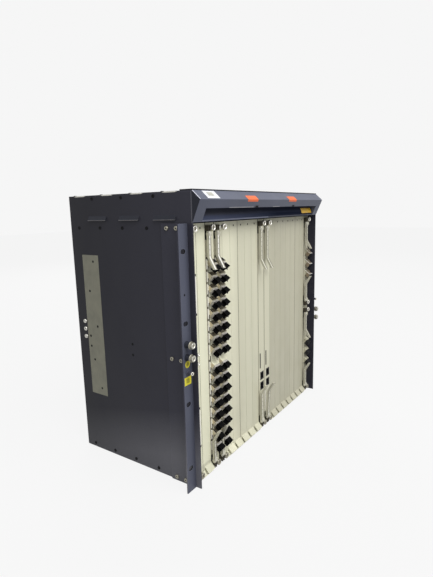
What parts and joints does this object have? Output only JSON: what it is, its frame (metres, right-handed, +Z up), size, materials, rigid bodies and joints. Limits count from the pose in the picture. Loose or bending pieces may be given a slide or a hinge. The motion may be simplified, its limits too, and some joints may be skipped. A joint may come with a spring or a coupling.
{
  "type": "optical line terminal",
  "caption": "Rack-mount optical line terminal: charcoal steel shelf with rack ears, hooded pull-out fan tray, beige blank panels and slide-in cards with ejector levers and capped optical ports.",
  "frame": {"origin": "middle of the outline in plan, on the surface the shelf stands on", "axes": "+X to the right as seen from the front, along the rack width; +Y to the back; +Z up"},
  "size_m": [0.4826, 0.27, 0.4437],
  "materials": {
    "shell_paint": "satin powder coat",
    "hood_paint": "satin powder coat",
    "panel_paint": "matte paint",
    "guide_metal": "satin",
    "tray_metal": "plated",
    "lever_metal": "satin",
    "module_metal": "plated",
    "board": "solder mask",
    "backplane": "solder mask",
    "cap_rubber": "matte",
    "black_plastic": "matte"
  },
  "bodies": {
    "chassis": {"backplane": "backplane", "blank_panels_left": "panel_paint", "blank_panels_middle": "panel_paint", "blank_panels_right": "panel_paint", "bottom_plate": "shell_paint", "left_ear": "shell_paint", "left_side_wall": "shell_paint", "lower_card_guide": "guide_metal", "rear_cover": "shell_paint", "right_ear": "shell_paint", "right_side_wall": "shell_paint", "top_cover": "shell_paint", "upper_card_guide": "guide_metal"},
    "fan_tray": {"fan_hood": "hood_paint", "fan_tray": "tray_metal", "fan_housings": "black_plastic"},
    "fan_rotor_1": {"fan_rotor_1": "black_plastic"},
    "fan_rotor_2": {"fan_rotor_2": "black_plastic"},
    "fan_rotor_3": {"fan_rotor_3": "black_plastic"},
    "line_card_1": {"line_card_1_board": "board", "line_card_1_dust_caps": "cap_rubber", "line_card_1_faceplate": "panel_paint", "line_card_1_modules": "module_metal"},
    "line_card_1_upper_lever": {"line_card_1_upper_lever": "lever_metal"},
    "line_card_1_lower_lever": {"line_card_1_lower_lever": "lever_metal"},
    "line_card_2": {"line_card_2_board": "board", "line_card_2_dust_caps": "cap_rubber", "line_card_2_faceplate": "panel_paint", "line_card_2_modules": "module_metal"},
    "line_card_2_upper_lever": {"line_card_2_upper_lever": "lever_metal"},
    "line_card_2_lower_lever": {"line_card_2_lower_lever": "lever_metal"},
    "control_card_1": {"control_card_1_board": "board", "control_card_1_faceplate": "panel_paint", "control_card_1_jacks": "black_plastic"},
    "control_card_1_upper_lever": {"control_card_1_upper_lever": "lever_metal"},
    "control_card_1_lower_lever": {"control_card_1_lower_lever": "lever_metal"},
    "control_card_2": {"control_card_2_board": "board", "control_card_2_faceplate": "panel_paint", "control_card_2_jacks": "black_plastic"},
    "control_card_2_upper_lever": {"control_card_2_upper_lever": "lever_metal"},
    "control_card_2_lower_lever": {"control_card_2_lower_lever": "lever_metal"},
    "uplink_card_1": {"uplink_card_1_board": "board", "uplink_card_1_faceplate": "panel_paint", "uplink_card_1_modules": "module_metal"},
    "uplink_card_1_upper_lever": {"uplink_card_1_upper_lever": "lever_metal"},
    "uplink_card_1_lower_lever": {"uplink_card_1_lower_lever": "lever_metal"},
    "uplink_card_2": {"uplink_card_2_board": "board", "uplink_card_2_faceplate": "panel_paint", "uplink_card_2_modules": "module_metal"},
    "uplink_card_2_upper_lever": {"uplink_card_2_upper_lever": "lever_metal"},
    "uplink_card_2_lower_lever": {"uplink_card_2_lower_lever": "lever_metal"}
  },
  "joints": [
    {"name": "fan_tray_slide", "type": "slide", "parent": "chassis", "child": "fan_tray", "axis": [0, -1, 0], "range_m": [0, 0.22]},
    {"name": "fan_rotor_1_spin", "type": "hinge", "parent": "fan_tray", "child": "fan_rotor_1", "pos_m": [-0.14, -0.001, 0.415], "axis": [0, 0, 1], "continuous": true},
    {"name": "fan_rotor_2_spin", "type": "hinge", "parent": "fan_tray", "child": "fan_rotor_2", "pos_m": [0, -0.001, 0.415], "axis": [0, 0, 1], "continuous": true},
    {"name": "fan_rotor_3_spin", "type": "hinge", "parent": "fan_tray", "child": "fan_rotor_3", "pos_m": [0.14, -0.001, 0.415], "axis": [0, 0, 1], "continuous": true},
    {"name": "line_card_1_slide", "type": "slide", "parent": "chassis", "child": "line_card_1", "axis": [0, -1, 0], "range_m": [0, 0.2]},
    {"name": "line_card_1_upper_lever_pivot", "type": "hinge", "parent": "line_card_1", "child": "line_card_1_upper_lever", "pos_m": [-0.16802, -0.1102, 0.3825], "axis": [-1, 0, 0], "range_deg": [0, 65]},
    {"name": "line_card_1_lower_lever_pivot", "type": "hinge", "parent": "line_card_1", "child": "line_card_1_lower_lever", "pos_m": [-0.16802, -0.1102, 0.0165], "axis": [1, 0, 0], "range_deg": [0, 65]},
    {"name": "line_card_2_slide", "type": "slide", "parent": "chassis", "child": "line_card_2", "axis": [0, -1, 0], "range_m": [0, 0.2]},
    {"name": "line_card_2_upper_lever_pivot", "type": "hinge", "parent": "line_card_2", "child": "line_card_2_upper_lever", "pos_m": [-0.14516, -0.1102, 0.3825], "axis": [-1, 0, 0], "range_deg": [0, 65]},
    {"name": "line_card_2_lower_lever_pivot", "type": "hinge", "parent": "line_card_2", "child": "line_card_2_lower_lever", "pos_m": [-0.14516, -0.1102, 0.0165], "axis": [1, 0, 0], "range_deg": [0, 65]},
    {"name": "control_card_1_slide", "type": "slide", "parent": "chassis", "child": "control_card_1", "axis": [0, -1, 0], "range_m": [0, 0.2]},
    {"name": "control_card_1_upper_lever_pivot", "type": "hinge", "parent": "control_card_1", "child": "control_card_1_upper_lever", "pos_m": [-0.008, -0.1102, 0.3825], "axis": [-1, 0, 0], "range_deg": [0, 65]},
    {"name": "control_card_1_lower_lever_pivot", "type": "hinge", "parent": "control_card_1", "child": "control_card_1_lower_lever", "pos_m": [-0.008, -0.1102, 0.0165], "axis": [1, 0, 0], "range_deg": [0, 65]},
    {"name": "control_card_2_slide", "type": "slide", "parent": "chassis", "child": "control_card_2", "axis": [0, -1, 0], "range_m": [0, 0.2]},
    {"name": "control_card_2_upper_lever_pivot", "type": "hinge", "parent": "control_card_2", "child": "control_card_2_upper_lever", "pos_m": [0.01486, -0.1102, 0.3825], "axis": [-1, 0, 0], "range_deg": [0, 65]},
    {"name": "control_card_2_lower_lever_pivot", "type": "hinge", "parent": "control_card_2", "child": "control_card_2_lower_lever", "pos_m": [0.01486, -0.1102, 0.0165], "axis": [1, 0, 0], "range_deg": [-3, 62]},
    {"name": "uplink_card_1_slide", "type": "slide", "parent": "chassis", "child": "uplink_card_1", "axis": [0, -1, 0], "range_m": [0, 0.2]},
    {"name": "uplink_card_1_upper_lever_pivot", "type": "hinge", "parent": "uplink_card_1", "child": "uplink_card_1_upper_lever", "pos_m": [0.19774, -0.1102, 0.3825], "axis": [-1, 0, 0], "range_deg": [0, 65]},
    {"name": "uplink_card_1_lower_lever_pivot", "type": "hinge", "parent": "uplink_card_1", "child": "uplink_card_1_lower_lever", "pos_m": [0.19774, -0.1102, 0.21525], "axis": [1, 0, 0], "range_deg": [0, 65]},
    {"name": "uplink_card_2_slide", "type": "slide", "parent": "chassis", "child": "uplink_card_2", "axis": [0, -1, 0], "range_m": [0, 0.2]},
    {"name": "uplink_card_2_upper_lever_pivot", "type": "hinge", "parent": "uplink_card_2", "child": "uplink_card_2_upper_lever", "pos_m": [0.19774, -0.1102, 0.18375], "axis": [-1, 0, 0], "range_deg": [0, 65]},
    {"name": "uplink_card_2_lower_lever_pivot", "type": "hinge", "parent": "uplink_card_2", "child": "uplink_card_2_lower_lever", "pos_m": [0.19774, -0.1102, 0.0165], "axis": [1, 0, 0], "range_deg": [0, 65]}
  ]
}
